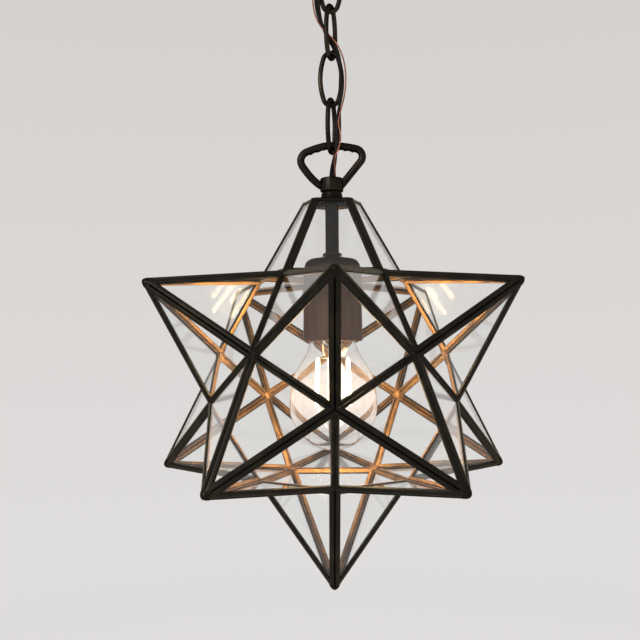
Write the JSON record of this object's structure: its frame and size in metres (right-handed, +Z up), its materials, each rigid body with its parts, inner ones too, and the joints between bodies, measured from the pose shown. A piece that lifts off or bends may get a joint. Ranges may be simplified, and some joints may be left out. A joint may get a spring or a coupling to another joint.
{
  "type": "moravian star pendant",
  "caption": "Glazed many-pointed star pendant with dark cames, hung by a short chain and cast loop from a round ceiling canopy, with a clear lamp inside and one hinged point.",
  "frame": {"origin": "the middle of the canopy on the ceiling plane, where the strap's two screws hold it", "axes": "+Z up, -Y to the front of the star as pictured, +X to the viewer's right"},
  "size_m": [0.2632, 0.2766, 0.5243],
  "materials": {
    "bronze": "oil-rubbed dark bronze, satin",
    "bronze_links": "oil-rubbed dark bronze, worn satin",
    "came_bronze": "dark patina outside, warm brass where it faces the lamp",
    "solder": "dark patina, soft sheen",
    "clear_glass": "clear, slightly grey-green",
    "bulb_glass": "clear",
    "steel_plate": "zinc plated",
    "socket_bronze": "brown bronze, satin",
    "socket_core": "dark insulating core",
    "shell_brass": "bright sheet",
    "base_metal": "nickel bright",
    "insulator_black": "black glassy insulator",
    "contact_metal": "tinned",
    "strip_phosphor": "lit warm light strip",
    "strip_wire": "fine wire",
    "flex_black": "dark flex",
    "copper_wire": "bare copper"
  },
  "bodies": {
    "ceiling": {"mounting_strap": "steel_plate", "canopy": "bronze", "ceiling_tube": "steel_plate", "ceiling_nut": "steel_plate", "ceiling_collar": "bronze", "ceiling_loop": "bronze", "flex_lead": "flex_black", "earth_lead": "copper_wire"},
    "link_4": {"chain_link_4": "bronze_links", "flex_length_1": "flex_black", "earth_length_1": "copper_wire"},
    "link_3": {"chain_link_3": "bronze_links", "flex_length_2": "flex_black", "earth_length_2": "copper_wire"},
    "link_2": {"chain_link_2": "bronze_links", "flex_length_3": "flex_black", "earth_length_3": "copper_wire"},
    "link_1": {"chain_link_1": "bronze_links", "flex_length_4": "flex_black", "earth_length_4": "copper_wire"},
    "star": {"star_loop": "bronze", "star_collar": "bronze", "cap_plate": "bronze", "stem_tube": "steel_plate", "crown_nut": "bronze", "socket_nut": "steel_plate", "socket_cup": "socket_bronze", "socket_washer": "socket_bronze", "socket_core": "socket_core", "screw_shell": "shell_brass", "top_cames": "came_bronze", "upper_front_cames": "came_bronze", "upper_right_cames": "came_bronze", "upper_right_back_cames": "came_bronze", "upper_left_back_cames": "came_bronze", "upper_left_cames": "came_bronze", "lower_left_front_cames": "came_bronze", "lower_right_cames": "came_bronze", "lower_back_cames": "came_bronze", "lower_left_cames": "came_bronze", "bottom_cames": "came_bronze", "top_glass": "clear_glass", "upper_glass": "clear_glass", "lower_glass": "clear_glass", "bottom_glass": "clear_glass", "solder_tips": "solder", "hinge_fixed_leaves": "bronze", "hinge_pin": "steel_plate", "flex_length_5": "flex_black", "earth_length_5": "copper_wire"},
    "hinged_point": {"hinged_cames": "came_bronze", "hinged_glass": "clear_glass", "hinged_tip": "solder", "hinge_moving_leaf": "bronze"},
    "lamp": {"bulb_glass": "bulb_glass", "lamp_base": "base_metal", "lamp_insulator": "insulator_black", "lamp_contact": "contact_metal", "lamp_stem": "bulb_glass", "light_strips": "strip_phosphor", "strip_wires": "strip_wire"}
  },
  "joints": [
    {"name": "link_4_swing", "type": "hinge", "parent": "ceiling", "child": "link_4", "pos_m": [0, 0, -0.0635], "axis": [0, 1, 0], "range_deg": [-30, 30], "deforming": ["flex_length_1", "earth_length_1"]},
    {"name": "link_3_swing", "type": "hinge", "parent": "link_4", "child": "link_3", "pos_m": [0, 0, -0.09785], "axis": [1, 0, 0], "range_deg": [-30, 30], "deforming": ["flex_length_2", "earth_length_2"]},
    {"name": "link_2_swing", "type": "hinge", "parent": "link_3", "child": "link_2", "pos_m": [0, 0, -0.13315], "axis": [0.4226, 0.9063, 0], "range_deg": [-30, 30], "deforming": ["flex_length_3", "earth_length_3"]},
    {"name": "link_1_swing", "type": "hinge", "parent": "link_2", "child": "link_1", "pos_m": [0, 0, -0.16845], "axis": [1, 0, 0], "range_deg": [-30, 30], "deforming": ["flex_length_4", "earth_length_4"]},
    {"name": "star_swing", "type": "hinge", "parent": "link_1", "child": "star", "pos_m": [0, 0, -0.1988], "axis": [1, 0, 0], "range_deg": [-30, 30], "deforming": ["flex_length_5", "earth_length_5"]},
    {"name": "point_hinge", "type": "hinge", "parent": "star", "child": "hinged_point", "pos_m": [0.0738, -0.02398, -0.41846], "axis": [0.5, -0.1625, 0.8507], "range_deg": [0, 100]},
    {"name": "lamp_turn", "type": "hinge", "parent": "star", "child": "lamp", "pos_m": [0, 0, -0.3705], "axis": [0, 0, 1], "continuous": true}
  ]
}
